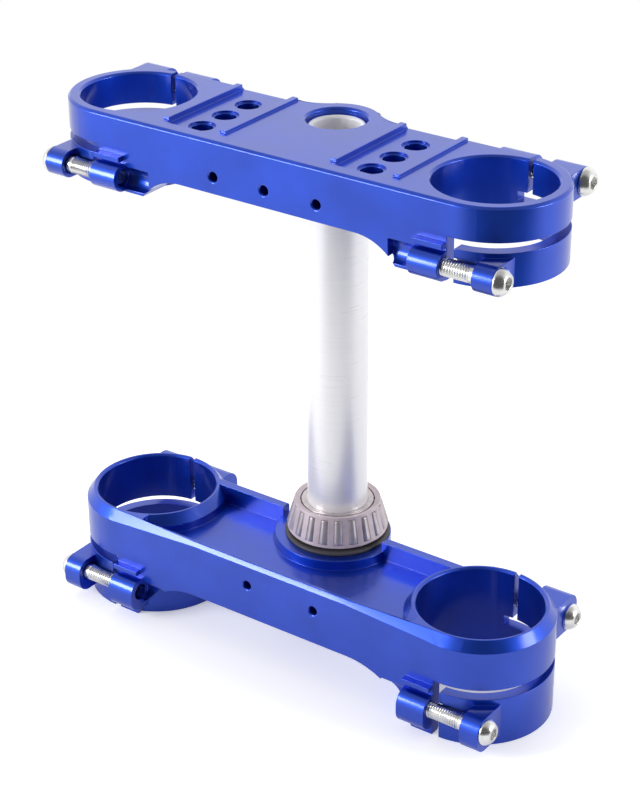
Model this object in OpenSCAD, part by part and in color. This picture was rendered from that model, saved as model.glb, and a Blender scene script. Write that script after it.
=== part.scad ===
// Motorcycle triple clamp: two yokes that hold the fork tubes, on a hollow steering stem.
// Every fork bore is held by two stacked C-shaped bands that open on opposite sides.
// The origin is on the steering axis, in the plane of the lower clamp's underside.
// X runs from fork to fork, Y points to the rear of the motorcycle and Z points up.

/* [Layout] */
// Distance between the axes of the two fork tubes
fork_spacing = 194; // [184:1:220]
// How far the fork axes lie in front of the steering axis
fork_offset = 22.5; // [18:0.5:28]
// Height from the lower clamp's underside to the upper clamp's top face
overall_h = 265; // [220:1:320]

/* [Upper clamp] */
// Diameter of the upper fork bores
upper_bore_d = 54; // [50:0.5:57]
// Thickness of the wall round an upper fork bore
upper_wall = 6; // [5:0.5:8]
// Height of the upper fork rings
upper_ring_h = 35.5; // [32:0.5:42]
// Height of the slot that parts the two bands of an upper ring
upper_slot_h = 4.5; // [3:0.5:5]
// Thickness of the middle of the upper clamp
upper_mid_t = 25; // [20:0.5:28]
// Half width of the flat part under the upper clamp
upper_arch_half = 48; // [40:1:52]
// Corner radius of the arch under the upper clamp
upper_arch_r = 26; // [20:1:30]
// Width and height of the chamfer along the upper clamp's top edge
upper_edge = 1.2; // [0.6:0.1:2]
// Radius of the round bulge behind the stem hole
stem_bulge_r = 21; // [19:0.5:24]
// Radius of the hollow corners beside that bulge
bulge_fillet_r = 27; // [20:1:34]
// Radius of the lugs round the upper clamp bolts
upper_lug_r = 6.5; // [6:0.25:6.5]
// Distance between the slot and the lugs beside it
upper_lug_land = 2.1; // [0.5:0.1:2.1]

/* [Handlebar pads] */
// Distance of a pad's middle from the steering axis
pad_x = 46; // [40:1:50]
// Width of a sunk pad
pad_w = 29; // [24:1:31]
// Depth of a sunk pad
pad_depth = 1.5; // [1:0.5:4]
// Thickness of the rim left in front of a pad
pad_rim = 7.5; // [5:0.5:10]
// Corner radius of a pad
pad_corner_r = 3; // [2:0.5:5]
// Width of the raised rail along each side of a pad
pad_rail_w = 3.25; // [2:0.25:4]
// Height of those rails above the top face
pad_rail_h = 1.25; // [0.5:0.25:2]
// Number of handlebar holes in a pad
pad_hole_count = 3; // [1:1:3]
// Distance between neighbouring handlebar holes
pad_hole_pitch = 17; // [14:0.5:18]
// Diameter of a handlebar hole
pad_hole_d = 10; // [8:0.5:11]
// Diameter of the seat round a handlebar hole
pad_seat_d = 12.5; // [12:0.5:14]
// Depth of that seat
pad_seat_depth = 1; // [0.5:0.25:2]

/* [Lower clamp] */
// Diameter of the lower fork bores
lower_bore_d = 60; // [56:0.5:62]
// Thickness of the wall round a lower fork bore
lower_wall = 5.8; // [5:0.1:8]
// Height of the lower fork rings
lower_ring_h = 55; // [50:1:64]
// Height of the slot that parts the two bands of a lower ring
lower_slot_h = 5; // [3:0.5:6]
// Height of the lower band of a lower ring
lower_band_h = 25; // [22:0.5:28]
// Thickness of the middle of the lower clamp
lower_mid_t = 30.5; // [24:0.5:34]
// Half width of the flat part under the lower clamp
lower_arch_half = 46; // [40:1:50]
// Corner radius of the arch under the lower clamp
lower_arch_r = 40; // [34:1:44]
// Width of the chamfer round the top of a lower ring
lower_edge_w = 3.8; // [2:0.2:4.4]
// Height of the chamfer round the top of a lower ring
lower_edge_h = 5; // [3:0.5:6]
// Height of the chamfer along the lower clamp's front top edge
lower_front_edge = 2; // [1:0.25:2.5]
// Distance of the lower clamp's rear edge behind the steering axis
lower_rear_y = 0.5; // [-2:0.5:3]
// Radius of the lugs round the lower clamp bolts
lower_lug_r = 7; // [6:0.25:8]
// Distance between the slot and the front lugs below it
lower_front_land = 3; // [0.5:0.25:5]
// Distance between the slot and the rear lugs above it
lower_rear_land = 0.5; // [0.25:0.25:3]
// How far a lower front lug runs on below its bolt
lower_front_run = 3.5; // [1:0.5:7]
// How far a lower rear lug runs on above its bolt
lower_rear_run = 4; // [1:0.5:6]

/* [Lower clamp pocket] */
// Depth of the pocket in the lower clamp's top
pocket_depth = 9.5; // [6:0.5:10]
// Thickness of the rim in front of the pocket
pocket_front_rim = 3; // [2.5:0.25:5]
// Thickness of the rim behind the pocket
pocket_rear_rim = 5.5; // [4:0.5:8]
// Half length of the pocket
pocket_half = 80; // [70:1:81]
// Radius of the pocket's upright corners
pocket_corner_r = 2; // [1:0.5:3]
// Radius of the stem boss in the pocket, at its top
boss_r = 31; // [29:0.5:31.5]
// Radius of the stem boss where it meets the pocket's floor
boss_foot_r = 32; // [31.5:0.5:33]
// Radius of the bulge behind the lower clamp that carries the rear of the bearing
rear_boss_r = 26.5; // [26.5:0.5:28]
// Depth of the stem boss's top below the rings' top
boss_drop = 5; // [3:0.5:6]
// Radius cut free round the bearing above the stem boss
bearing_room_r = 30; // [29:0.5:32]
// Radius of the stem boss under the lower clamp
under_boss_r = 22; // [20:0.5:26]

/* [Clamping gaps] */
// Distance of the front gap's outer side from the fork axis
front_gap_x = 1; // [0.5:0.5:2]
// Width of the gap at the front of a lower band
front_gap = 3.5; // [3:0.5:5]
// Distance of the rear gap's outer side from the fork axis
rear_gap_x = 2.75; // [1.5:0.25:4]
// Width of the gap at the rear of an upper band
rear_gap = 2.5; // [1.5:0.5:3.5]
// How far the slot runs inward past the fork axis at the rear
slot_inset = 4.5; // [3:0.5:8]
// Distance from the bore wall to a clamp bolt's axis
bolt_inset = 7; // [6.5:0.25:10]
// How far the threaded lugs reach inward past the fork axis
boss_reach = 17.5; // [16.5:0.5:20]
// Distance from the bore's side to a free lug's outer face, measured inward
ear_inset = 3; // [1:0.5:4]
// Thickness of a free lug at the front
front_ear_t = 10; // [7:0.5:10]
// Thickness of a free lug at the rear
rear_ear_t = 15; // [8:0.5:16]
// Depth of the shelf above a front lug
shelf_depth = 3.8; // [2:0.2:5]
// Thickness of that shelf
shelf_t = 2.5; // [1.5:0.25:3]
// Step between the shelf and the slot's upper side
shelf_drop = 2.5; // [0.5:0.25:3]
// Radius of the groove for a bolt's end
groove_r = 5.5; // [4.5:0.25:6]
// Length of the groove for a bolt's end
groove_l = 14; // [10:0.5:18]

/* [Clamp bolts] */
// Thread diameter of a clamp bolt
bolt_d = 8; // [6:0.5:8]
// Length of a clamp bolt under its head
bolt_l = 40; // [36:0.5:42]
// Diameter of a bolt's button head
head_d = 13; // [12:0.5:13.5]
// Height of a bolt's button head
head_h = 4.4; // [4:0.2:5.6]
// Diameter of the flat on top of a button head
head_flat_d = 7.6; // [7:0.2:8]
// Height of the straight rim under a button head's dome
head_rim = 0.8; // [0.4:0.1:1.2]
// Width across the flats of the hexagon socket
socket_af = 5; // [4:0.5:5.5]
// Depth of the hexagon socket
socket_depth = 2.6; // [2:0.2:3.2]
// Radial play of a bolt in its threaded lug
thread_play = 0.05; // [0.02:0.01:0.1]
// Radial play of a bolt in its free lug
bolt_play = 0.5; // [0.3:0.1:0.8]
// Chamfer at the end of a bolt
bolt_edge = 0.8; // [0.4:0.1:1.2]

/* [Small holes] */
// Diameter of the small threaded holes in the front faces
small_hole_d = 4.4; // [3:0.2:5]
// Depth of the small threaded holes
small_hole_depth = 12; // [8:1:16]
// Width of the chamfer at the mouth of a small hole
small_hole_edge = 0.6; // [0.2:0.1:1]
// Distance between the holes in the upper clamp's front face
upper_hole_pitch = 28; // [20:1:34]
// Depth of the upper clamp's front holes below its top face
upper_hole_drop = 17; // [10:0.5:19]
// Distance of the left front hole of the lower clamp from the steering axis
lower_hole_left = 12.5; // [8:0.5:30]
// Distance of the right front hole of the lower clamp from the steering axis
lower_hole_right = 26.5; // [8:0.5:40]
// Depth of the lower clamp's front holes below the pocket's floor
lower_hole_drop = 3; // [2.9:0.1:6]

/* [Steering stem] */
// Outer diameter of the stem between the clamps
stem_d = 29.5; // [28.6:0.1:29.8]
// Outer diameter of the stem where it is pressed into the lower clamp
stem_press_d = 32; // [31:0.5:36]
// Outer diameter of the stem inside the upper clamp
stem_top_d = 27.9; // [26:0.1:28.2]
// Diameter of the bore through the stem
stem_bore_d = 22; // [18:0.5:23]
// Depth of the stem's top end below the upper clamp's top face
stem_top_drop = 3; // [2:0.5:8]
// Chamfer on the stem's top edges
stem_edge = 1; // [0.5:0.1:1.4]
// Radial play of the stem in the upper clamp
stem_play = 0.05; // [0.02:0.01:0.1]
// Radial play that stands for a press fit
press_play = 0.01; // [0.01:0.01:0.03]
// Chamfer at the mouths of the large bores
bore_edge = 1; // [0.5:0.1:1.4]

/* [Lower bearing] */
// Bore of the tapered roller bearing
bearing_bore_d = 30; // [30:0.5:31]
// Width of the bearing's inner ring
bearing_h = 16; // [15.5:0.5:18]
// Number of tapered rollers
roller_count = 20; // [14:1:20]
// Lean of the roller axes towards the steering axis
roller_tilt = 14; // [10:0.5:16]
// Distance from the steering axis to the middle of a roller
roller_ring_r = 21; // [20.6:0.1:22]
// Diameter of a roller at its middle
roller_d = 5.2; // [4.4:0.1:5.4]
// Length of a roller
roller_l = 12; // [10:0.5:12]
// Height of the rollers' middle above the inner ring's lower face
roller_mid_h = 8.5; // [8.25:0.25:8.75]
// Play between a roller and what it touches
roller_play = 0.05; // [0.03:0.01:0.08]
// Play at the ends of a roller
roller_end_play = 0.15; // [0.1:0.05:0.3]
// How far the large rib stays inside the roller axes
large_rib_inset = 0.8; // [0.6:0.1:1.2]
// Height of the small rib above the raceway
small_rib_h = 0.7; // [0.4:0.1:0.8]
// Thickness of the cage's sheet
cage_t = 1; // [0.8:0.1:1.2]
// Distance of the cage's sheet outside the roller axes
cage_lift = 1; // [0.8:0.1:1.3]
// Width of the cage's end rings
cage_rim = 1.6; // [1:0.1:1.8]
// How far the cage's upper lip reaches inside the roller axes
cage_lip = 0.8; // [0.4:0.1:0.9]
// Play between a roller and its window in the cage
cage_play = 0.1; // [0.06:0.01:0.2]
// Outer diameter of the dust seal under the bearing
seal_d = 52; // [48:0.5:53]
// Thickness of the dust seal
seal_t = 2; // [1.5:0.25:3]
// Height of the slope at the rim of the dust seal
seal_edge_h = 0.8; // [0.4:0.1:1]
// Width of the slope at the rim of the dust seal
seal_edge_w = 1.6; // [1:0.1:3]

/* [Hidden] */
$fn = 96;
// Overlap of a cut past the face it opens
over = 1;
// How far the lower clamp's front chamfer ends below the ring's own
edge_step = 0.05;

LOWER = 0;
UPPER = 1;
LEVELS = [LOWER, UPPER];
SIDES = [-1, 1];
FRONT = -1;
REAR = 1;
FACES = [FRONT, REAR];

// Values of the two clamps, in the order of LEVELS
bore_r = [lower_bore_d / 2, upper_bore_d / 2];
ring_r = [bore_r[LOWER] + lower_wall, bore_r[UPPER] + upper_wall];
base_z = [0, overall_h - upper_ring_h];
top_z = [lower_ring_h, overall_h];
upper_band_h = (upper_ring_h - upper_slot_h) / 2;
slot_z = [lower_band_h, base_z[UPPER] + upper_band_h];
slot_h = [lower_slot_h, upper_slot_h];
lug_r = [lower_lug_r, upper_lug_r];
reach = [bore_r[LOWER] + bolt_inset, bore_r[UPPER] + bolt_inset];
front_bolt_z = [
    slot_z[LOWER] - lower_front_land - lug_r[LOWER],
    slot_z[UPPER] - upper_lug_land - lug_r[UPPER]
];
rear_bolt_z = [
    slot_z[LOWER] + slot_h[LOWER] + lower_rear_land + lug_r[LOWER],
    slot_z[UPPER] + slot_h[UPPER] + upper_lug_land + lug_r[UPPER]
];
// Where the lugs end, with x pointing from the fork axis away from the steering axis
boss_end_x = front_gap_x - front_gap;
ear_end_x = [bore_r[LOWER] - ear_inset, bore_r[UPPER] - ear_inset];

upper_mid_z = overall_h - upper_mid_t;
lower_mid_z = lower_ring_h - lower_mid_t;
pocket_z = lower_ring_h - pocket_depth;
boss_top_z = lower_ring_h - boss_drop;
pad_z = overall_h - pad_depth;

bearing_z = boss_top_z + seal_t;
roller_z = bearing_z + roller_mid_h;
// Distance from the middle of a roller to the point where all axes meet
apex_l = roller_ring_r / sin(roller_tilt);
roller_slope = roller_d / 2 / apex_l;
roller_big_r = (apex_l + roller_l / 2) * roller_slope;
roller_small_r = (apex_l - roller_l / 2) * roller_slope;

// The dome of a button head passes through its rim and through the edge of its flat top
dome_z = (pow(head_flat_d / 2, 2) - pow(head_d / 2, 2) + pow(head_h, 2) - pow(head_rim, 2))
    / (head_h - head_rim) / 2;
dome_r = norm([head_d / 2, head_rim - dome_z]);

stem_top_z = overall_h - stem_top_drop;
stem_hole_r = stem_top_d / 2 + stem_play;

LEVEL_NAMES = ["lower", "upper"];
function side_name(side) = side < 0 ? "left" : "right";
function face_name(face) = face < 0 ? "front" : "rear";
function bolt_place(level, side, face) =
    str(LEVEL_NAMES[level], "_", side_name(side), "_", face_name(face));
function bolt_name(level, side, face) = str(bolt_place(level, side, face), "_bolt");
function roller_name(i) = str("roller_", i < 10 ? "0" : "", i);
function bolt_z(level, face) = face < 0 ? front_bolt_z[level] : rear_bolt_z[level];
function lug_run(level, face) =
    level == UPPER ? 0 : face < 0 ? -lower_front_run : lower_rear_run;
function ear_t(face) = face < 0 ? front_ear_t : rear_ear_t;

// A box given by two opposite corners
module block(low, high)
    translate(low) cube(high - low);

// A round bar along X
module bar_x(x0, x1, y, z, r)
    translate([x0, y, z]) rotate([0, 90, 0]) cylinder(r = r, h = x1 - x0);

// A round post with a chamfer at its top
module post(r, z0, z1, edge_w, edge_h)
    rotate_extrude() polygon([
        [0, z0], [r, z0], [r, z1 - edge_h], [r - edge_w, z1], [0, z1]
    ]);

// A round hole with a chamfered mouth at its top
module hole_with_top_edge(r, z0, z1, edge)
    rotate_extrude() polygon([
        [0, z0 - over], [r, z0 - over], [r, z1 - edge], [r + edge + over, z1 + over], [0, z1 + over]
    ]);

// A bore with a chamfer at both mouths
module bore_with_edges(r, z0, z1, edge)
    rotate_extrude() polygon([
        [0, z0 - over], [r + edge + over, z0 - over], [r, z0 + edge],
        [r, z1 - edge], [r + edge + over, z1 + over], [0, z1 + over]
    ]);

// Puts its children at both fork axes, with x pointing away from the steering axis
module at_forks()
    for (half = [0, 1])
        mirror([half, 0, 0])
            translate([fork_spacing / 2, -fork_offset, 0])
                children();

// The hollow under the middle of a clamp: flat in the middle, round at its ends
module arch_void(half, r, z, y0, y1) {
    translate([0, y1, 0])
        rotate([90, 0, 0])
            linear_extrude(height = y1 - y0) {
                for (side = SIDES)
                    translate([side * half, z - r]) circle(r = r);
                translate([-half, z - 2 * r]) square([2 * half, 2 * r]);
            }
}

// A lug round a clamp bolt: a nose with round corners on a block that grows out of the ring
module bolt_lug(level, face, x0, x1) {
    y = face * reach[level];
    z0 = bolt_z(level, face) + min(0, lug_run(level, face));
    z1 = bolt_z(level, face) + max(0, lug_run(level, face));
    r = lug_r[level];
    root = face * bore_r[level] / 2;
    nose = y + face * r;
    for (z = z0 == z1 ? [z0] : [z0, z1])
        bar_x(x0, x1, y, z, r);
    block([x0, min(root, y), z0 - r], [x1, max(root, y), z1 + r]);
    if (z1 > z0)
        block([x0, min(y, nose), z0], [x1, max(y, nose), z1]);
}

// Lugs of one fork ring: threaded ones on the clamp, free ones on the open bands
module ring_lugs(level) {
    for (face = FACES) {
        bolt_lug(level, face, -boss_reach, 0);
        bolt_lug(level, face, ear_end_x[level] - ear_t(face), ear_end_x[level]);
    }
    shelf_z = slot_z[level] + slot_h[level] - shelf_drop;
    block(
        [-boss_reach, -ring_r[level] - shelf_depth, shelf_z - shelf_t],
        [boss_end_x, -bore_r[level], shelf_z]
    );
}

// What is cut out of one fork ring to make its two opposed bands
module ring_cuts(level) {
    far = ring_r[level] + bolt_inset + lug_r[level] + over;
    low = base_z[level] - over;
    high = top_z[level] + over;
    slot_top = slot_z[level] + slot_h[level];
    bore_with_edges(bore_r[level], base_z[level], top_z[level], bore_edge);
    block([boss_end_x, -far, slot_z[level]], [far, 0, slot_top]);
    block([-slot_inset, 0, slot_z[level]], [far, far, slot_top]);
    block([boss_end_x, -far, low], [front_gap_x, 0, slot_top]);
    block([rear_gap_x - rear_gap, 0, slot_z[level]], [rear_gap_x, far, high]);
    for (face = FACES) {
        y = face * reach[level];
        z = bolt_z(level, face);
        bar_x(-boss_reach - over, 0, y, z, bolt_d / 2 + thread_play);
        bar_x(boss_end_x, ear_end_x[level] + over, y, z, bolt_d / 2 + bolt_play);
    }
}

// Groove in a clamp's face that gives a bolt's end room
module bolt_groove(level, face)
    bar_x(
        -boss_reach - groove_l, -boss_reach, face * reach[level], bolt_z(level, face), groove_r
    );

// A small threaded hole in a front face, with a chamfered mouth
module small_hole(x, y, z)
    translate([x, y, z])
        rotate([-90, 0, 0]) {
            translate([0, 0, -over]) cylinder(d = small_hole_d, h = small_hole_depth + over);
            translate([0, 0, -over])
                cylinder(
                    r1 = small_hole_d / 2 + small_hole_edge + over,
                    r2 = small_hole_d / 2,
                    h = small_hole_edge + over
                );
        }

// Bulge behind the stem hole, with hollow corners that run into the rear edge
module stem_bulge(rear_y, z0, z1) {
    corner_y = rear_y + bulge_fillet_r;
    corner_x = sqrt(pow(stem_bulge_r + bulge_fillet_r, 2) - pow(corner_y, 2));
    touch = stem_bulge_r / (stem_bulge_r + bulge_fillet_r);
    post(stem_bulge_r, z0, z1, upper_edge, upper_edge);
    difference() {
        translate([0, 0, z0])
            linear_extrude(height = z1 - z0)
                polygon([
                    [-corner_x, rear_y - upper_edge - over], [corner_x, rear_y - upper_edge - over],
                    [corner_x, rear_y], [corner_x * touch, corner_y * touch],
                    [-corner_x * touch, corner_y * touch], [-corner_x, rear_y]
                ]);
        for (side = SIDES)
            translate([side * corner_x, corner_y, 0]) {
                translate([0, 0, z0 - over]) cylinder(r = bulge_fillet_r, h = z1 - z0 + 2 * over);
                translate([0, 0, z1 - upper_edge])
                    cylinder(
                        r1 = bulge_fillet_r,
                        r2 = bulge_fillet_r + upper_edge + over,
                        h = upper_edge + over
                    );
            }
    }
}

// A sunk pad for a handlebar mount, open at the rear
module pad_cut(y0, y1)
    translate([0, 0, pad_z])
        linear_extrude(height = pad_depth + over) {
            translate([-pad_w / 2, y0 + pad_corner_r]) square([pad_w, y1 - y0]);
            translate([-pad_w / 2 + pad_corner_r, y0])
                square([pad_w - 2 * pad_corner_r, 2 * pad_corner_r]);
            for (side = SIDES)
                translate([side * (pad_w / 2 - pad_corner_r), y0 + pad_corner_r])
                    circle(r = pad_corner_r);
        }

// The two raised rails beside a pad
module pad_rails(y0, y1)
    for (half = [0, 1])
        mirror([half, 0, 0])
            block(
                [pad_w / 2, y0, overall_h - over],
                [pad_w / 2 + pad_rail_w, y1, overall_h + pad_rail_h]
            );

module upper_clamp() {
    front_y = -fork_offset - ring_r[UPPER];
    rear_y = -fork_offset + ring_r[UPPER];
    color("royalblue")
        difference() {
            union() {
                difference() {
                    union() {
                        translate([-fork_spacing / 2, 0, 0])
                            rotate([90, 0, 90])
                                linear_extrude(height = fork_spacing)
                                    polygon([
                                        [front_y, base_z[UPPER]], [rear_y, base_z[UPPER]],
                                        [rear_y, overall_h - upper_edge],
                                        [rear_y - upper_edge, overall_h],
                                        [front_y + upper_edge, overall_h],
                                        [front_y, overall_h - upper_edge]
                                    ]);
                        stem_bulge(rear_y, base_z[UPPER], overall_h);
                    }
                    arch_void(
                        upper_arch_half, upper_arch_r, upper_mid_z,
                        front_y - over, rear_y + stem_bulge_r
                    );
                }
                at_forks() {
                    post(ring_r[UPPER], base_z[UPPER], overall_h, upper_edge, upper_edge);
                    ring_lugs(UPPER);
                }
                for (side = SIDES)
                    translate([side * pad_x, 0, 0])
                        pad_rails(front_y + pad_rim + pad_corner_r, rear_y - upper_edge);
            }
            at_forks() {
                ring_cuts(UPPER);
                for (face = FACES)
                    bolt_groove(UPPER, face);
            }
            hole_with_top_edge(stem_hole_r, base_z[UPPER], overall_h, bore_edge);
            for (side = SIDES)
                translate([side * pad_x, 0, 0]) {
                    pad_cut(front_y + pad_rim, rear_y + over);
                    for (i = [0:pad_hole_count - 1])
                        translate([0, -fork_offset + (i - (pad_hole_count - 1) / 2) * pad_hole_pitch, 0]) {
                            translate([0, 0, base_z[UPPER]]) cylinder(d = pad_hole_d, h = upper_ring_h);
                            translate([0, 0, pad_z - pad_seat_depth])
                                cylinder(d = pad_seat_d, h = pad_seat_depth + over);
                        }
                }
            for (i = [-1:1])
                small_hole(i * upper_hole_pitch, front_y, overall_h - upper_hole_drop);
        }
}

// Takes the lower clamp's front chamfer down to meet the ring's taller chamfer in one flat face
module growing_edge(front_y) {
    run = fork_spacing / 2 - lower_arch_half;
    drop = lower_edge_h - lower_front_edge;
    normal = [lower_edge_w * drop, -lower_edge_h * run, lower_edge_w * run];
    lean = acos(normal[2] / norm(normal));
    turn = atan2(normal[1], normal[0]);
    for (half = [0, 1])
        mirror([half, 0, 0])
            translate([fork_spacing / 2, front_y + lower_edge_w, lower_ring_h - edge_step])
                rotate([0, lean, turn])
                    translate([-fork_spacing, -fork_spacing, 0])
                        cube([2 * fork_spacing, 2 * fork_spacing, lower_ring_h]);
}

// The pocket in the lower clamp's top, with round upright corners
module pocket_cut(front_y)
    translate([0, 0, pocket_z])
        linear_extrude(height = pocket_depth + over) {
            y0 = front_y + pocket_front_rim;
            y1 = lower_rear_y - pocket_rear_rim;
            translate([-pocket_half + pocket_corner_r, y0])
                square([2 * (pocket_half - pocket_corner_r), y1 - y0]);
            translate([-pocket_half, y0 + pocket_corner_r])
                square([2 * pocket_half, y1 - y0 - 2 * pocket_corner_r]);
            for (side = SIDES, y = [y0 + pocket_corner_r, y1 - pocket_corner_r])
                translate([side * (pocket_half - pocket_corner_r), y]) circle(r = pocket_corner_r);
        }

module lower_clamp() {
    front_y = -fork_offset - ring_r[LOWER];
    edge_h = lower_front_edge;
    edge_w = edge_h * lower_edge_w / lower_edge_h;
    color("royalblue")
        difference() {
            union() {
                difference() {
                    translate([-fork_spacing / 2, 0, 0])
                        rotate([90, 0, 90])
                            linear_extrude(height = fork_spacing)
                                polygon([
                                    [front_y, 0], [lower_rear_y, 0],
                                    [lower_rear_y, lower_ring_h - bore_edge],
                                    [lower_rear_y - bore_edge, lower_ring_h],
                                    [front_y + edge_w, lower_ring_h],
                                    [front_y, lower_ring_h - edge_h]
                                ]);
                    arch_void(
                        lower_arch_half, lower_arch_r, lower_mid_z,
                        front_y - over, lower_rear_y + over
                    );
                    pocket_cut(front_y);
                    growing_edge(front_y);
                }
                at_forks() {
                    post(ring_r[LOWER], 0, lower_ring_h, lower_edge_w, lower_edge_h);
                    ring_lugs(LOWER);
                }
                rotate_extrude()
                    polygon([
                        [0, 0], [under_boss_r - bore_edge, 0], [under_boss_r, bore_edge],
                        [under_boss_r, lower_mid_z], [rear_boss_r, lower_mid_z],
                        [rear_boss_r, boss_top_z], [0, boss_top_z]
                    ]);
                intersection() {
                    rotate_extrude()
                        polygon([
                            [0, lower_mid_z], [boss_foot_r, lower_mid_z], [boss_foot_r, pocket_z],
                            [boss_r, boss_top_z], [0, boss_top_z]
                        ]);
                    block(
                        [-boss_foot_r, front_y + pocket_front_rim, lower_mid_z + over],
                        [boss_foot_r, lower_rear_y - over, boss_top_z]
                    );
                }
            }
            at_forks() {
                ring_cuts(LOWER);
                bolt_groove(LOWER, FRONT);
            }
            translate([0, 0, boss_top_z]) cylinder(r = bearing_room_r, h = boss_drop + over);
            translate([0, 0, -over])
                cylinder(r = stem_press_d / 2 + press_play, h = lower_ring_h + 2 * over);
            small_hole(-lower_hole_left, front_y, pocket_z - lower_hole_drop);
            small_hole(lower_hole_right, front_y, pocket_z - lower_hole_drop);
        }
}

module steering_stem() {
    seat_r = bearing_bore_d / 2 - press_play;
    seat_z = bearing_z + bearing_h + over;
    color("gainsboro")
        rotate_extrude()
            polygon([
                [stem_bore_d / 2, 0],
                [stem_press_d / 2, 0],
                [stem_press_d / 2, boss_top_z],
                [seat_r, boss_top_z],
                [seat_r, seat_z],
                [stem_d / 2, seat_z + over],
                [stem_d / 2, upper_mid_z],
                [stem_top_d / 2, upper_mid_z],
                [stem_top_d / 2, stem_top_z - stem_edge],
                [stem_top_d / 2 - stem_edge, stem_top_z],
                [stem_bore_d / 2 + stem_edge, stem_top_z],
                [stem_bore_d / 2, stem_top_z - stem_edge]
            ]);
}

module bearing_dust_seal()
    color("dimgray")
        rotate_extrude()
            polygon([
                [bearing_bore_d / 2, boss_top_z],
                [seal_d / 2, boss_top_z],
                [seal_d / 2, bearing_z - seal_edge_h],
                [seal_d / 2 - seal_edge_w, bearing_z],
                [bearing_bore_d / 2, bearing_z]
            ]);

// A point beside a roller: along is down its axis from its middle, out is away from the axis
function beside_roller(along, out) = [
    roller_ring_r + along * sin(roller_tilt) + out * cos(roller_tilt),
    roller_z - along * cos(roller_tilt) + out * sin(roller_tilt)
];

module bearing_inner_ring() {
    end = roller_l / 2 + roller_end_play;
    large_rib = beside_roller(end, -large_rib_inset);
    small_rib = beside_roller(-end, -roller_small_r - roller_play + small_rib_h);
    color("darkgray")
        rotate_extrude()
            polygon([
                [bearing_bore_d / 2, bearing_z],
                [large_rib[0], bearing_z],
                large_rib,
                beside_roller(end, -roller_big_r - roller_play),
                beside_roller(-end, -roller_small_r - roller_play),
                small_rib,
                [small_rib[0], bearing_z + bearing_h],
                [bearing_bore_d / 2, bearing_z + bearing_h]
            ]);
}

// Puts its children at a roller's middle, turned so that Z runs up its axis
module at_roller(i)
    rotate([0, 0, (i - 1) * 360 / roller_count])
        translate([roller_ring_r, 0, roller_z])
            rotate([0, -roller_tilt, 0])
                children();

// The shape of a roller, made larger by a play round it and at its ends
module roller_shape(play, end_play)
    cylinder(
        r1 = roller_big_r + play + end_play * roller_slope,
        r2 = roller_small_r + play - end_play * roller_slope,
        h = roller_l + 2 * end_play,
        center = true
    );

module bearing_cage() {
    window_end = roller_l / 2 + roller_end_play;
    cage_end = window_end + cage_rim;
    color("silver")
        difference() {
            rotate_extrude()
                polygon([
                    beside_roller(cage_end, cage_lift + cage_t),
                    beside_roller(-cage_end, cage_lift + cage_t),
                    beside_roller(-cage_end, -cage_lip),
                    beside_roller(-cage_end + cage_t, -cage_lip),
                    beside_roller(-cage_end + cage_t, cage_lift),
                    beside_roller(cage_end, cage_lift)
                ]);
            for (i = [1:roller_count])
                at_roller(i) roller_shape(cage_play, roller_end_play);
        }
}

module roller(i)
    color("lightgray") at_roller(i) roller_shape(0, 0);

// Puts its children at a clamp bolt's seat on its free lug, with Z along the bolt
module at_bolt(level, side, face)
    mirror([side < 0 ? 1 : 0, 0, 0])
        translate([
            fork_spacing / 2 + ear_end_x[level],
            -fork_offset + face * reach[level],
            bolt_z(level, face)
        ])
            rotate([0, 90, 0])
                children();

module clamp_bolt(level, side, face)
    color("whitesmoke")
        at_bolt(level, side, face)
            difference() {
                union() {
                    rotate_extrude()
                        polygon([
                            [0, -bolt_l], [bolt_d / 2 - bolt_edge, -bolt_l],
                            [bolt_d / 2, -bolt_l + bolt_edge], [bolt_d / 2, 0],
                            [head_d / 2, 0], [head_d / 2, head_rim], [0, head_rim]
                        ]);
                    intersection() {
                        translate([0, 0, dome_z]) sphere(r = dome_r);
                        translate([0, 0, head_rim]) cylinder(r = head_d / 2, h = head_h - head_rim);
                    }
                }
                translate([0, 0, head_h - socket_depth])
                    cylinder(d = socket_af / cos(30), h = socket_depth + over, $fn = 6);
            }

upper_clamp();
lower_clamp();
steering_stem();
bearing_dust_seal();
bearing_inner_ring();
bearing_cage();
for (i = [1:roller_count])
    roller(i);
for (level = LEVELS, side = SIDES, face = FACES)
    clamp_bolt(level, side, face);
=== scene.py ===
"""Dresses the motorcycle triple clamp: blue fork clamps on a bright hollow stem."""

import logging
import math
from collections.abc import Callable, Sequence
from dataclasses import dataclass
from enum import Enum
from typing import ClassVar

import bmesh
import bpy
from mathutils import Matrix, Vector


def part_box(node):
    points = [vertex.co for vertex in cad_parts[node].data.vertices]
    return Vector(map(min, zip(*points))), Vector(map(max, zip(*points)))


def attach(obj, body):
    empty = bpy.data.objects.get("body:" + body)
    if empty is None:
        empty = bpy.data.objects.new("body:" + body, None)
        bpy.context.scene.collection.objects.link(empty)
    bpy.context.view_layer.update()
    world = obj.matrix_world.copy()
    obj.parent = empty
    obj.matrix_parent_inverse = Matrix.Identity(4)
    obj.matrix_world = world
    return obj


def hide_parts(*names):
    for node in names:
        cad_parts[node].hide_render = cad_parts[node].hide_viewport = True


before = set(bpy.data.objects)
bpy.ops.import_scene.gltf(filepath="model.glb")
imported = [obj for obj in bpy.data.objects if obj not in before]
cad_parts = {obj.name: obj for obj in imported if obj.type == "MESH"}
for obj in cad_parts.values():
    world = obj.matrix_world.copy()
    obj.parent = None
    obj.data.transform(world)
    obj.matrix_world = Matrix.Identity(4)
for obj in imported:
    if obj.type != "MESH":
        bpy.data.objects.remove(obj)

logging.basicConfig(level=logging.INFO, format="%(levelname)s %(name)s: %(message)s")
log = logging.getLogger("triple_clamp")

MM = 0.001
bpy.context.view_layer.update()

Colour = tuple[float, float, float]


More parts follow.
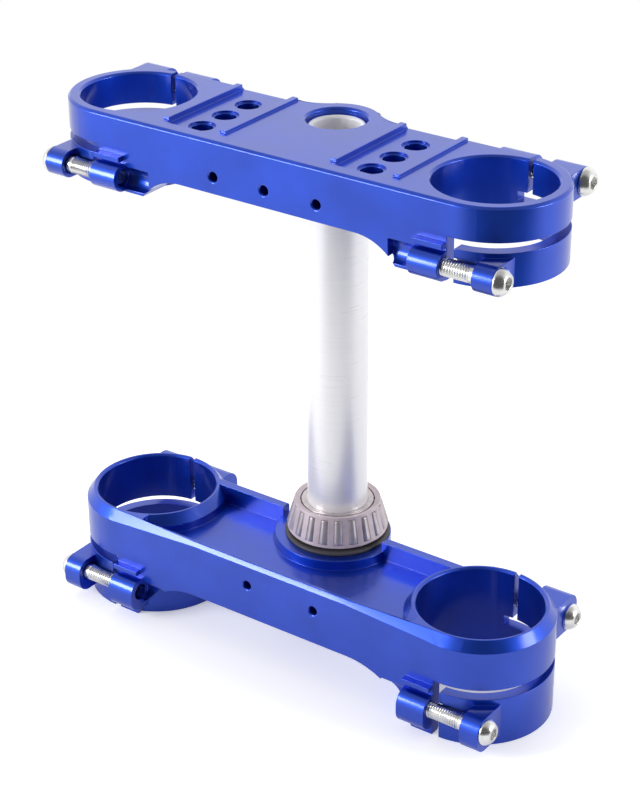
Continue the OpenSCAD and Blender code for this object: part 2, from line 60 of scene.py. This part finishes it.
class Slot(Enum):
    """The record's material slots."""

    BLUE = "blue_anodised"
    STEM = "stem_satin"
    BEARING = "bearing_steel"
    CAGE = "cage_steel"
    SEAL = "seal_rubber"
    BOLT = "bolt_steel"


class Level(Enum):
    """The two clamps, with the prefix of their nodes."""

    LOWER = "lower"
    UPPER = "upper"


class Side(Enum):
    """The two sides of the motorcycle, with the sign of X."""

    LEFT = -1
    RIGHT = 1


class Face(Enum):
    """The front and the rear of a clamp, with the sign of Y."""

    FRONT = -1
    REAR = 1


class ShaderSheet:
    """A material's node tree, with short ways to add and join its nodes."""

    def __init__(self, name: str) -> None:
        """Starts a material with a principled surface.

        Args:
            name: the material's name.
        """
        self.material = bpy.data.materials.new(name)
        self.material.use_nodes = True
        self.tree = self.material.node_tree
        self.tree.nodes.clear()
        self.output = self.add("ShaderNodeOutputMaterial")
        self.surface = self.add("ShaderNodeBsdfPrincipled")
        self.join(self.surface.outputs["BSDF"], self.output.inputs["Surface"])
        coords = self.add("ShaderNodeTexCoord")
        self.place = coords.outputs["Object"]

    def add(self, kind: str, **values: object) -> bpy.types.Node:
        """Adds a node.

        Args:
            kind: the node's type name.
            **values: attributes to set on the node.

        Returns:
            The new node.
        """
        node = self.tree.nodes.new(kind)
        for key, value in values.items():
            setattr(node, key, value)
        return node

    def join(self, out: bpy.types.NodeSocket, into: bpy.types.NodeSocket) -> None:
        """Links two sockets.

        Args:
            out: the output that the link starts from.
            into: the input that it ends at.
        """
        self.tree.links.new(out, into)

    def put(self, into: bpy.types.NodeSocket, value: object) -> None:
        """Links or sets an input, whichever the value calls for.

        Args:
            into: the input.
            value: an output to link, or a constant.
        """
        if isinstance(value, bpy.types.NodeSocket):
            self.join(value, into)
        else:
            into.default_value = value

    def set(self, **values: float | tuple[float, ...]) -> None:
        """Sets constants on the principled surface.

        Args:
            **values: the constants, by the sockets' names with _ for a space.
        """
        for key, value in values.items():
            self.surface.inputs[key.replace("_", " ")].default_value = value

    def maths(self, operation: str, a: object, b: object = 0.0) -> bpy.types.NodeSocket:
        """Adds a maths node.

        Args:
            operation: the node's operation.
            a: first value or output.
            b: second value or output.

        Returns:
            The node's output.
        """
        node = self.add("ShaderNodeMath", operation=operation)
        self.put(node.inputs[0], a)
        self.put(node.inputs[1], b)
        return node.outputs[0]

    def stretched(self, scale: Sequence[float]) -> bpy.types.NodeSocket:
        """Object coordinates, scaled along each axis.

        Args:
            scale: the three factors.

        Returns:
            The scaled coordinates.
        """
        mapping = self.add("ShaderNodeMapping")
        mapping.inputs["Scale"].default_value = tuple(scale)
        self.join(self.place, mapping.inputs["Vector"])
        return mapping.outputs["Vector"]

    def away_from_axis(self, dx: object, dy: object) -> bpy.types.NodeSocket:
        """Distance from an upright axis.

        Args:
            dx: distance from the axis along X.
            dy: distance from the axis along Y.

        Returns:
            The length of the two together.
        """
        squares = self.maths(
            "ADD", self.maths("MULTIPLY", dx, dx), self.maths("MULTIPLY", dy, dy)
        )
        return self.maths("SQRT", squares)

    def split_place(self) -> tuple[bpy.types.NodeSocket, ...]:
        """Splits the object coordinates.

        Returns:
            X, Y and Z.
        """
        split = self.add("ShaderNodeSeparateXYZ")
        self.join(self.place, split.inputs["Vector"])
        return tuple(split.outputs)

    def noise(
        self, scale: float, detail: float = 2.0, stretch: Sequence[float] = (1.0, 1.0, 1.0)
    ) -> bpy.types.NodeSocket:
        """Adds a noise on object coordinates.

        Args:
            scale: lumps for each metre.
            detail: the noise's octaves.
            stretch: factors on the coordinates.

        Returns:
            The noise's value.
        """
        node = self.add("ShaderNodeTexNoise")
        node.inputs["Scale"].default_value = scale
        node.inputs["Detail"].default_value = detail
        self.join(self.stretched(stretch), node.inputs["Vector"])
        return node.outputs["Fac"]

    def ranged(
        self, value: bpy.types.NodeSocket, low: float, high: float,
        start: float = 0.3, end: float = 0.7,
    ) -> bpy.types.NodeSocket:
        """Maps a value between two limits.

        Args:
            value: what is mapped.
            low: the result at start.
            high: the result at end.
            start: the value that gives low.
            end: the value that gives high.

        Returns:
            The mapped value.
        """
        node = self.add("ShaderNodeMapRange")
        self.join(value, node.inputs["Value"])
        for key, number in (
            ("From Min", start), ("From Max", end), ("To Min", low), ("To Max", high)
        ):
            node.inputs[key].default_value = number
        return node.outputs["Result"]

    def two_tone(
        self, value: bpy.types.NodeSocket, first: Colour, second: Colour
    ) -> bpy.types.NodeSocket:
        """Mixes two colours by a value.

        Args:
            value: 0 for the first colour, 1 for the second.
            first: a linear colour.
            second: a linear colour.

        Returns:
            The mixed colour.
        """
        node = self.add("ShaderNodeMix", data_type="RGBA")
        self.join(value, node.inputs["Factor"])
        node.inputs["A"].default_value = (*first, 1.0)
        node.inputs["B"].default_value = (*second, 1.0)
        return node.outputs["Result"]

    def colour(self, value: bpy.types.NodeSocket) -> None:
        """Joins the base colour.

        Args:
            value: the output that gives the colour.
        """
        self.join(value, self.surface.inputs["Base Color"])

    def roughness(self, value: bpy.types.NodeSocket) -> None:
        """Joins the roughness.

        Args:
            value: the output that gives the roughness.
        """
        self.join(value, self.surface.inputs["Roughness"])

    def bump(self, height: bpy.types.NodeSocket, depth: float, strength: float = 1.0) -> None:
        """Bumps the surface.

        Args:
            height: the height, from 0 to 1.
            depth: the depth of the bump, in metres.
            strength: how much of the bump shows.
        """
        node = self.add("ShaderNodeBump")
        node.inputs["Strength"].default_value = strength
        node.inputs["Distance"].default_value = depth
        self.join(height, node.inputs["Height"])
        self.join(node.outputs["Normal"], self.surface.inputs["Normal"])


@dataclass(frozen=True)
class BlueAnodising:
    """Dyed oxide on blasted aluminium: a blue metal under a thin clear layer."""

    deep: Colour = (0.006, 0.052, 0.47)
    light: Colour = (0.010, 0.070, 0.60)
    layer_ior: float = 1.5
    layer_rough: float = 0.16
    rough: tuple[float, float] = (0.42, 0.48)
    rough_grain: tuple[float, float] = (-0.02, 0.03)
    cloud_scale: float = 38.0
    grain_scale: float = 2600.0
    blast_depth: float = 0.012 * MM
    bump_strength: float = 0.5
    bore_depth: float = 0.012 * MM
    bore_pitch: float = 0.5 * MM
    fork_x: float = 97.0 * MM
    fork_y: float = -22.5 * MM
    split_z: float = 140.0 * MM
    bore_r: tuple[float, float] = (30.2 * MM, 27.2 * MM)

    def material(self) -> bpy.types.Material:
        """Builds the finish.

        Returns:
            The material.
        """
        sheet = ShaderSheet("blue_anodising")
        sheet.set(
            Metallic=1.0, Coat_Weight=1.0, Coat_Roughness=self.layer_rough,
            Coat_IOR=self.layer_ior,
        )
        cloud = sheet.noise(self.cloud_scale, 3.0)
        grain = sheet.noise(self.grain_scale, 2.0)
        sheet.colour(sheet.two_tone(sheet.ranged(cloud, 0.0, 1.0), self.deep, self.light))
        sheet.roughness(
            sheet.maths(
                "ADD", sheet.ranged(cloud, *self.rough), sheet.ranged(grain, *self.rough_grain)
            )
        )
        rings = self.bored_rings(sheet)
        height = sheet.maths("ADD", grain, rings)
        sheet.bump(height, self.blast_depth, self.bump_strength)
        return sheet.material

    def bored_rings(self, sheet: ShaderSheet) -> bpy.types.NodeSocket:
        """Fine tool marks round the walls of the fork bores.

        Args:
            sheet: the material's sheet.

        Returns:
            Their height, 0 away from the bores.
        """
        x, y, z = sheet.split_place()
        dx = sheet.maths("SUBTRACT", sheet.maths("ABSOLUTE", x), self.fork_x)
        dy = sheet.maths("SUBTRACT", y, self.fork_y)
        away = sheet.away_from_axis(dx, dy)
        upper = sheet.maths("GREATER_THAN", z, self.split_z)
        low, high = self.bore_r
        reach = sheet.maths("ADD", sheet.maths("MULTIPLY", upper, high - low), low)
        inside = sheet.maths("LESS_THAN", away, reach)
        wave = sheet.maths("SINE", sheet.maths("MULTIPLY", z, 2 * math.pi / self.bore_pitch))
        share = self.bore_depth / self.blast_depth
        return sheet.maths("MULTIPLY", sheet.maths("MULTIPLY", wave, inside), share)


@dataclass(frozen=True)
class TurnedStem:
    """Clear anodised aluminium with fine turning marks round the steering axis."""

    pale: Colour = (0.95, 0.94, 0.96)
    grey: Colour = (0.90, 0.89, 0.92)
    bore_r: float = 12.1 * MM
    bore_metal: float = 0.05
    metal: float = 0.4
    rough: tuple[float, float] = (0.26, 0.32)
    rough_cloud: tuple[float, float] = (0.0, 0.03)
    marks_scale: float = 60.0
    marks_stretch: tuple[float, float, float] = (0.4, 0.4, 90.0)
    cloud_scale: float = 30.0
    marks_depth: float = 0.004 * MM

    def material(self) -> bpy.types.Material:
        """Builds the finish.

        Returns:
            The material.
        """
        sheet = ShaderSheet("turned_stem")
        x, y, _ = sheet.split_place()
        away = sheet.away_from_axis(x, y)
        outside = sheet.maths("GREATER_THAN", away, self.bore_r)
        sheet.join(
            sheet.ranged(outside, self.bore_metal, self.metal, 0.0, 1.0),
            sheet.surface.inputs["Metallic"],
        )
        marks = sheet.noise(self.marks_scale, 3.0, self.marks_stretch)
        cloud = sheet.noise(self.cloud_scale, 2.0)
        sheet.colour(sheet.two_tone(sheet.ranged(marks, 0.0, 1.0), self.pale, self.grey))
        sheet.roughness(
            sheet.maths(
                "ADD", sheet.ranged(marks, *self.rough), sheet.ranged(cloud, *self.rough_cloud)
            )
        )
        sheet.bump(marks, self.marks_depth, 0.5)
        return sheet.material


@dataclass(frozen=True)
class GroundSteel:
    """Worked steel: the bearing's ground faces, its pressed cage and the plated bolts."""

    name: str
    light: Colour
    dark: Colour
    rough: tuple[float, float]
    metal: float = 1.0
    cloud_scale: float = 220.0
    grain_scale: float = 900.0
    grain_stretch: tuple[float, float, float] = (1.0, 1.0, 4.0)
    grain_depth: float = 0.003 * MM

    def material(self) -> bpy.types.Material:
        """Builds the finish.

        Returns:
            The material.
        """
        sheet = ShaderSheet(self.name)
        sheet.set(Metallic=self.metal)
        cloud = sheet.noise(self.cloud_scale, 3.0)
        grain = sheet.noise(self.grain_scale, 2.0, self.grain_stretch)
        sheet.colour(sheet.two_tone(sheet.ranged(cloud, 0.0, 1.0), self.light, self.dark))
        sheet.roughness(sheet.ranged(grain, *self.rough))
        sheet.bump(grain, self.grain_depth, 0.5)
        return sheet.material


@dataclass(frozen=True)
class SealRubber:
    """Dark moulded rubber."""

    dark: Colour = (0.045, 0.040, 0.044)
    light: Colour = (0.075, 0.068, 0.072)
    rough: tuple[float, float] = (0.42, 0.58)
    grain_scale: float = 1500.0
    grain_depth: float = 0.02 * MM

    def material(self) -> bpy.types.Material:
        """Builds the finish.

        Returns:
            The material.
        """
        sheet = ShaderSheet("seal_rubber")
        grain = sheet.noise(self.grain_scale, 3.0)
        sheet.colour(sheet.two_tone(sheet.ranged(grain, 0.0, 1.0), self.dark, self.light))
        sheet.roughness(sheet.ranged(grain, *self.rough))
        sheet.bump(grain, self.grain_depth, 0.5)
        return sheet.material


class Bench:
    """Mesh work that every sub-assembly shares, done as by hand in edit mode."""

    MERGE = 0.0005 * MM
    FLAT_ANGLE = math.radians(0.4)
    SHARP_ANGLE = math.radians(28)

    @staticmethod
    def clear() -> None:
        """Leaves edit mode and deselects everything."""
        if bpy.context.object and bpy.context.object.mode != "OBJECT":
            bpy.ops.object.mode_set(mode="OBJECT")
        bpy.ops.object.select_all(action="DESELECT")

    @classmethod
    def take(cls, piece: bpy.types.Object) -> None:
        """Selects one piece alone and makes it active.

        Args:
            piece: the piece.
        """
        cls.clear()
        piece.select_set(True)
        bpy.context.view_layer.objects.active = piece

    @classmethod
    def copy_of(cls, node: str, name: str) -> bpy.types.Object:
        """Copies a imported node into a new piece, merged and with flat faces joined.

        Args:
            node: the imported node.
            name: the new piece's name.

        Returns:
            The new piece, at the origin.
        """
        piece = bpy.data.objects.new(name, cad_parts[node].data.copy())
        piece.data.name = name
        bpy.context.scene.collection.objects.link(piece)
        cls.take(piece)
        if piece.data.has_custom_normals:
            bpy.ops.mesh.customdata_custom_splitnormals_clear()
        bpy.ops.object.mode_set(mode="EDIT")
        bpy.ops.mesh.select_all(action="SELECT")
        bpy.ops.mesh.mark_sharp(clear=True)
        bpy.ops.mesh.remove_doubles(threshold=cls.MERGE)
        bpy.ops.mesh.dissolve_limited(angle_limit=cls.FLAT_ANGLE)
        bpy.ops.object.mode_set(mode="OBJECT")
        return piece

    @classmethod
    def slice(cls, piece: bpy.types.Object, places: Sequence[float]) -> None:
        """Cuts a piece's faces across X, so that none has too many corners to fill well.

        Args:
            piece: the piece.
            places: distances of the cuts from the middle, on both sides.
        """
        cls.take(piece)
        bpy.ops.object.mode_set(mode="EDIT")
        for place in places:
            for side in Side:
                bpy.ops.mesh.select_all(action="SELECT")
                bpy.ops.mesh.bisect(plane_co=(side.value * place, 0, 0), plane_no=(1, 0, 0))
        bpy.ops.object.mode_set(mode="OBJECT")

    @classmethod
    def modify(cls, piece: bpy.types.Object, kind: str, **values: object) -> None:
        """Adds a modifier and applies it.

        Args:
            piece: the piece.
            kind: the modifier's type.
            **values: its settings.
        """
        cls.take(piece)
        modifier = piece.modifiers.new(kind.lower(), kind)
        for key, value in values.items():
            setattr(modifier, key, value)
        bpy.ops.object.modifier_apply(modifier=modifier.name)

    @classmethod
    def ease_edges(cls, piece: bpy.types.Object, width: float, segments: int = 2) -> None:
        """Rounds the sharp edges and leaves flat faces flat.

        Args:
            piece: the piece.
            width: the width of the rounding.
            segments: its number of steps.
        """
        cls.take(piece)
        bpy.ops.object.shade_smooth()
        cls.modify(
            piece, "BEVEL", width=width, segments=segments, limit_method="ANGLE",
            angle_limit=cls.SHARP_ANGLE, use_clamp_overlap=False, miter_outer="MITER_ARC",
        )
        cls.modify(piece, "WEIGHTED_NORMAL", mode="FACE_AREA", weight=50, thresh=0.001)

    @staticmethod
    def finish(
        piece: bpy.types.Object, material: bpy.types.Material, slot: Slot, body: str,
        *nodes: str,
    ) -> None:
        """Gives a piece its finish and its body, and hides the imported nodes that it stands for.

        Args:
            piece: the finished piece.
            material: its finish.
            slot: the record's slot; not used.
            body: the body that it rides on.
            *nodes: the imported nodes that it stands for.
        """
        piece.data.materials.clear()
        piece.data.materials.append(material)
        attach(piece, body)
        if nodes:
            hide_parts(*nodes)
        log.info("%s on %s, %d faces", piece.name, body, len(piece.data.polygons))


@dataclass
class ForkClamps:
    """The two machined clamps, with every sharp edge lightly broken."""

    finish: bpy.types.Material
    edge: float = 0.25 * MM
    edge_steps: int = 3
    cuts: tuple[float, ...] = (12.3 * MM, 37.1 * MM, 58.7 * MM, 73.3 * MM, 88.9 * MM, 107.7 * MM)

    def build(self) -> None:
        """Builds both clamps."""
        for level in Level:
            node = f"{level.value}_clamp"
            piece = Bench.copy_of(node, f"{node}_machined")
            Bench.slice(piece, self.cuts)
            Bench.ease_edges(piece, self.edge, self.edge_steps)
            Bench.finish(piece, self.finish, Slot.BLUE, "clamp", node)


@dataclass
class ClampBolts:
    """The eight clamp bolts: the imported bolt's head and shank, with a real thread."""

    finish: bpy.types.Material
    thread_length: float = 27.0 * MM
    pitch: float = 1.25 * MM
    crest_r: float = 3.97 * MM
    root_r: float = 3.30 * MM
    end_chamfer: float = 0.9 * MM
    root_share: float = 0.14
    flank_share: float = 0.36
    spare_turns: int = 2
    overlap: float = 0.1 * MM
    merge: float = 0.001 * MM
    edge: float = 0.25 * MM
    steps: int = 36

    def build(self) -> None:
        """Builds all eight bolts."""
        thread = self.thread()
        for level in Level:
            for side in Side:
                for face in Face:
                    node = f"{level.value}_{side.name.lower()}_{face.name.lower()}_bolt"
                    self.bolt(node, side, thread)
        bpy.data.objects.remove(thread)

    def thread(self) -> bpy.types.Object:
        """Turns the threaded end of a bolt, from its tip at the origin up along Z.

        Returns:
            A closed rod with a helical thread and a chamfered tip.
        """
        turns = math.ceil(self.thread_length / self.pitch) + 2 * self.spare_turns
        start = -self.spare_turns * self.pitch
        Bench.clear()
        bpy.ops.mesh.primitive_plane_add(size=self.pitch, location=(0.0, 0.0, 0.0))
        rod = bpy.context.object
        rod.name = rod.data.name = "thread"
        work = bmesh.new()
        flat = self.pitch * self.root_share
        flank = self.pitch * self.flank_share
        profile = [
            (self.root_r, 0.0), (self.root_r, flat), (self.crest_r, flat + flank),
            (self.crest_r, 2 * flat + flank), (self.root_r, self.pitch),
        ]
        corners = [work.verts.new((r, 0.0, z + start)) for r, z in profile]
        for a, b in zip(corners, corners[1:]):
            work.edges.new((a, b))
        work.to_mesh(rod.data)
        work.free()
        Bench.modify(
            rod, "SCREW", axis="Z", angle=2 * math.pi, screw_offset=self.pitch,
            iterations=turns, steps=self.steps, render_steps=self.steps,
            use_merge_vertices=True, merge_threshold=self.merge, use_smooth_shade=False,
        )
        Bench.take(rod)
        bpy.ops.object.mode_set(mode="EDIT")
        for height, normal in ((0.0, (0, 0, -1)), (self.thread_length, (0, 0, 1))):
            bpy.ops.mesh.select_all(action="SELECT")
            bpy.ops.mesh.bisect(
                plane_co=(0.0, 0.0, height), plane_no=normal, use_fill=True, clear_outer=True
            )
        bpy.ops.mesh.select_all(action="SELECT")
        bpy.ops.mesh.remove_doubles(threshold=self.merge)
        bpy.ops.mesh.normals_make_consistent(inside=False)
        bpy.ops.object.mode_set(mode="OBJECT")
        self.chamfer_tip(rod)
        return rod

    def chamfer_tip(self, rod: bpy.types.Object) -> None:
        """Narrows the first turns of the thread to the bolt's chamfer.

        Args:
            rod: the threaded rod.
        """
        limit = self.crest_r - self.end_chamfer
        for vertex in rod.data.vertices:
            flat = Vector((vertex.co.x, vertex.co.y))
            most = limit + vertex.co.z
            if flat.length > most:
                flat *= most / flat.length
                vertex.co.x, vertex.co.y = flat

    def bolt(self, node: str, side: Side, thread: bpy.types.Object) -> None:
        """Builds one bolt in place.

        Args:
            node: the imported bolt.
            side: the side of the motorcycle that it is on.
            thread: the threaded end, at the origin.
        """
        low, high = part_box(node)
        y, z = (low.y + high.y) / 2, (low.z + high.z) / 2
        tip = low.x if side is Side.RIGHT else high.x
        turn = Matrix.Rotation(math.radians(90.0 * side.value), 4, "Y")
        place = Matrix.Translation((tip, y, z)) @ turn
        piece = Bench.copy_of(node, f"{node}_threaded")
        bpy.ops.object.mode_set(mode="EDIT")
        bpy.ops.mesh.select_all(action="SELECT")
        bpy.ops.mesh.bisect(
            plane_co=(tip + side.value * (self.thread_length - self.overlap), y, z),
            plane_no=(side.value, 0, 0), use_fill=True, clear_inner=True,
        )
        bpy.ops.object.mode_set(mode="OBJECT")
        Bench.ease_edges(piece, self.edge)
        end = bpy.data.objects.new("end", thread.data.copy())
        end.data.transform(place)
        bpy.context.scene.collection.objects.link(end)
        Bench.clear()
        end.select_set(True)
        piece.select_set(True)
        bpy.context.view_layer.objects.active = piece
        bpy.ops.object.join()
        Bench.finish(piece, self.finish, Slot.BOLT, "clamp", node)


@dataclass
class SteeringStem:
    """The hollow stem, with its turned surface and eased rims."""

    finish: bpy.types.Material
    edge: float = 0.3 * MM

    def build(self) -> None:
        """Builds the stem."""
        piece = Bench.copy_of("steering_stem", "steering_stem_turned")
        Bench.ease_edges(piece, self.edge)
        Bench.finish(piece, self.finish, Slot.STEM, "clamp", "steering_stem")


@dataclass
class LowerBearing:
    """The tapered roller bearing and the dust seal under it."""

    steel: bpy.types.Material
    sheet: bpy.types.Material
    rubber: bpy.types.Material
    rollers: int = 20
    edge: float = 0.3 * MM
    cage_edge: float = 0.15 * MM

    def build(self) -> None:
        """Builds the seal, the inner ring, the cage and the rollers."""
        seal = Bench.copy_of("bearing_dust_seal", "dust_seal_moulded")
        Bench.ease_edges(seal, self.edge)
        Bench.finish(seal, self.rubber, Slot.SEAL, "clamp", "bearing_dust_seal")
        ring = Bench.copy_of("bearing_inner_ring", "inner_ring_ground")
        Bench.ease_edges(ring, self.edge)
        Bench.finish(ring, self.steel, Slot.BEARING, "clamp", "bearing_inner_ring")
        cage = Bench.copy_of("bearing_cage", "cage_pressed")
        Bench.ease_edges(cage, self.cage_edge)
        Bench.finish(cage, self.sheet, Slot.CAGE, "cage", "bearing_cage")
        for number in range(1, self.rollers + 1):
            name = f"roller_{number:02d}"
            roller = Bench.copy_of(name, f"{name}_ground")
            Bench.ease_edges(roller, self.edge)
            Bench.finish(roller, self.steel, Slot.BEARING, name, name)


@dataclass
class Lamp:
    """A soft square lamp that looks at the object."""

    name: str
    place: tuple[float, float, float]
    size: tuple[float, float]
    watts: float
    target: tuple[float, float, float] = (0.0, 0.0, 0.13)

    def build(self) -> bpy.types.Object:
        """Builds the lamp.

        Returns:
            The lamp.
        """
        light = bpy.data.lights.new(self.name, "AREA")
        light.shape = "RECTANGLE"
        light.size, light.size_y = self.size
        light.energy = self.watts
        lamp = bpy.data.objects.new(self.name, light)
        look = Vector(self.target) - Vector(self.place)
        lamp.rotation_mode = "QUATERNION"
        lamp.rotation_quaternion = look.to_track_quat("-Z", "Y")
        lamp.location = self.place
        lamp.visible_camera = False
        bpy.context.scene.collection.objects.link(lamp)
        return lamp


@dataclass(frozen=True)
class Glow:
    """A round zone of the room that is darker or brighter than its white walls."""

    direction: tuple[float, float, float]
    full: float
    fade: float
    level: float


@dataclass
class Studio:
    """A pale floor, soft light and the camera at the photograph's angle."""

    WHITE: ClassVar[Colour] = (1.0, 1.0, 1.0)

    azimuth: float = 35.80
    elevation: float = 27.44
    roll: float = -0.35
    camera_place: tuple[float, float, float] = (524.4 * MM, -741.4 * MM, 593.6 * MM)
    focal_px: float = 2129.0
    image: tuple[int, int] = (640, 800)
    film: float = 36.0
    clip: tuple[float, float] = (0.01, 20.0)
    floor_size: float = 6.0
    paper: Colour = (0.88, 0.88, 0.88)
    paper_rough: float = 0.9
    paper_fade: tuple[float, float] = (0.38, 0.56)
    paper_glow: tuple[float, float] = (0.36, 0.14)
    dark_side: Glow = Glow((0.667, -0.740, 0.087), 40.0, 72.0, 0.09)
    ceiling: Glow = Glow((0.0, 0.0, 1.0), 25.0, 60.0, 0.5)
    bright_side: Glow = Glow((-0.519, 0.720, 0.461), 25.0, 60.0, 1.1)
    lamps: tuple[Lamp, ...] = (
        Lamp("key_lamp", (-0.75, -1.05, 0.55), (0.5, 0.5), 12.0),
        Lamp("right_lamp", (1.25, 0.35, 0.45), (0.5, 0.5), 6.5),
    )

    def build(self) -> None:
        """Builds the camera, the floor, the world and the lamps."""
        self.camera()
        self.floor()
        self.world()
        for lamp in self.lamps:
            lamp.build()
        bpy.context.scene.view_settings.view_transform = "Standard"

    def camera(self) -> None:
        """Sets the camera where the photograph was taken from."""
        a, e, r = map(math.radians, (self.azimuth, self.elevation, self.roll))
        back = Vector((math.sin(a) * math.cos(e), -math.cos(a) * math.cos(e), math.sin(e)))
        right = Vector((math.cos(a), math.sin(a), 0.0))
        up = back.cross(right)
        right, up = right * math.cos(r) + up * math.sin(r), up * math.cos(r) - right * math.sin(r)
        data = bpy.data.cameras.new("camera")
        data.sensor_fit = "VERTICAL"
        data.sensor_width = data.sensor_height = self.film
        data.lens = self.focal_px / self.image[1] * self.film
        data.clip_start, data.clip_end = self.clip
        camera = bpy.data.objects.new("camera", data)
        camera.matrix_world = Matrix.Translation(self.camera_place) @ Matrix(
            (right, up, back)
        ).transposed().to_4x4()
        bpy.context.scene.collection.objects.link(camera)
        bpy.context.scene.camera = camera

    def floor(self) -> None:
        """Lays a sheet of pale paper whose rim melts into the white room."""
        Bench.clear()
        bpy.ops.mesh.primitive_plane_add(size=self.floor_size, location=(0.0, 0.0, 0.0))
        floor = bpy.context.object
        floor.name = "floor"
        sheet = ShaderSheet("floor_paper")
        sheet.set(Roughness=self.paper_rough, Emission_Color=(*self.WHITE, 1.0))
        rays = sheet.add("ShaderNodeLightPath").outputs
        sheet.colour(sheet.two_tone(rays["Is Camera Ray"], self.paper, self.WHITE))
        glow = sheet.maths(
            "ADD",
            sheet.maths("MULTIPLY", rays["Is Camera Ray"], self.paper_glow[0]),
            sheet.maths("MULTIPLY", rays["Is Glossy Ray"], self.paper_glow[1]),
        )
        sheet.join(glow, sheet.surface.inputs["Emission Strength"])
        away = sheet.add("ShaderNodeVectorMath", operation="LENGTH")
        sheet.join(sheet.place, away.inputs[0])
        gone = sheet.add("ShaderNodeBsdfTransparent")
        mix = sheet.add("ShaderNodeMixShader")
        sheet.join(
            sheet.ranged(away.outputs["Value"], 0.0, 1.0, *self.paper_fade), mix.inputs["Fac"]
        )
        sheet.join(sheet.surface.outputs["BSDF"], mix.inputs[1])
        sheet.join(gone.outputs["BSDF"], mix.inputs[2])
        sheet.join(mix.outputs["Shader"], sheet.output.inputs["Surface"])
        floor.data.materials.append(sheet.material)

    def world(self) -> None:
        """Lights the room white with a dark and a bright side; the camera sees plain white."""
        world = bpy.data.worlds.new("room")
        world.use_nodes = True
        bpy.context.scene.world = world
        tree = world.node_tree
        level: bpy.types.NodeSocket | None = None
        for glow in (self.ceiling, self.bright_side, self.dark_side):
            level = self.glow_level(tree, glow, level)
        rays = tree.nodes.new("ShaderNodeLightPath")
        seen = tree.nodes.new("ShaderNodeMapRange")
        seen.inputs["To Max"].default_value = 1.0
        tree.links.new(rays.outputs["Is Camera Ray"], seen.inputs["Value"])
        tree.links.new(level, seen.inputs["To Min"])
        background = tree.nodes["Background"]
        tree.links.new(seen.outputs["Result"], background.inputs["Strength"])
        background.inputs["Color"].default_value = (*self.WHITE, 1.0)

    @staticmethod
    def glow_level(
        tree: bpy.types.NodeTree, glow: Glow, around: bpy.types.NodeSocket | None
    ) -> bpy.types.NodeSocket:
        """Adds one zone to the room's brightness.

        Args:
            tree: the world's node tree.
            glow: the zone.
            around: the brightness around the zone, or nothing for white.

        Returns:
            The brightness with the zone in it.
        """
        coords = tree.nodes.new("ShaderNodeTexCoord")
        dot = tree.nodes.new("ShaderNodeVectorMath")
        dot.operation = "DOT_PRODUCT"
        dot.inputs[1].default_value = glow.direction
        tree.links.new(coords.outputs["Generated"], dot.inputs[0])
        zone = tree.nodes.new("ShaderNodeMapRange")
        zone.interpolation_type = "SMOOTHSTEP"
        tree.links.new(dot.outputs["Value"], zone.inputs["Value"])
        zone.inputs["From Min"].default_value = math.cos(math.radians(glow.fade))
        zone.inputs["From Max"].default_value = math.cos(math.radians(glow.full))
        zone.inputs["To Max"].default_value = glow.level
        if around is None:
            zone.inputs["To Min"].default_value = 1.0
        else:
            tree.links.new(around, zone.inputs["To Min"])
        return zone.outputs["Result"]


def main() -> None:
    """Builds the pieces in order, then the studio."""
    blue = BlueAnodising().material()
    steel = GroundSteel(
        "ground_steel", (0.62, 0.56, 0.57), (0.50, 0.46, 0.47), (0.30, 0.38), metal=0.6
    )
    sheet = GroundSteel(
        "pressed_sheet", (0.68, 0.57, 0.61), (0.55, 0.47, 0.50), (0.45, 0.55), metal=0.25
    )
    plated = GroundSteel("plated_bolt", (0.86, 0.86, 0.84), (0.76, 0.76, 0.75), (0.20, 0.28))
    steps: list[Callable[[], None]] = [
        ForkClamps(blue).build,
        ClampBolts(plated.material()).build,
        SteeringStem(TurnedStem().material()).build,
        LowerBearing(steel.material(), sheet.material(), SealRubber().material()).build,
        Studio().build,
    ]
    for step in steps:
        step()
        log.info("built %s", type(step.__self__).__name__)


if __name__ == "__main__":
    main()
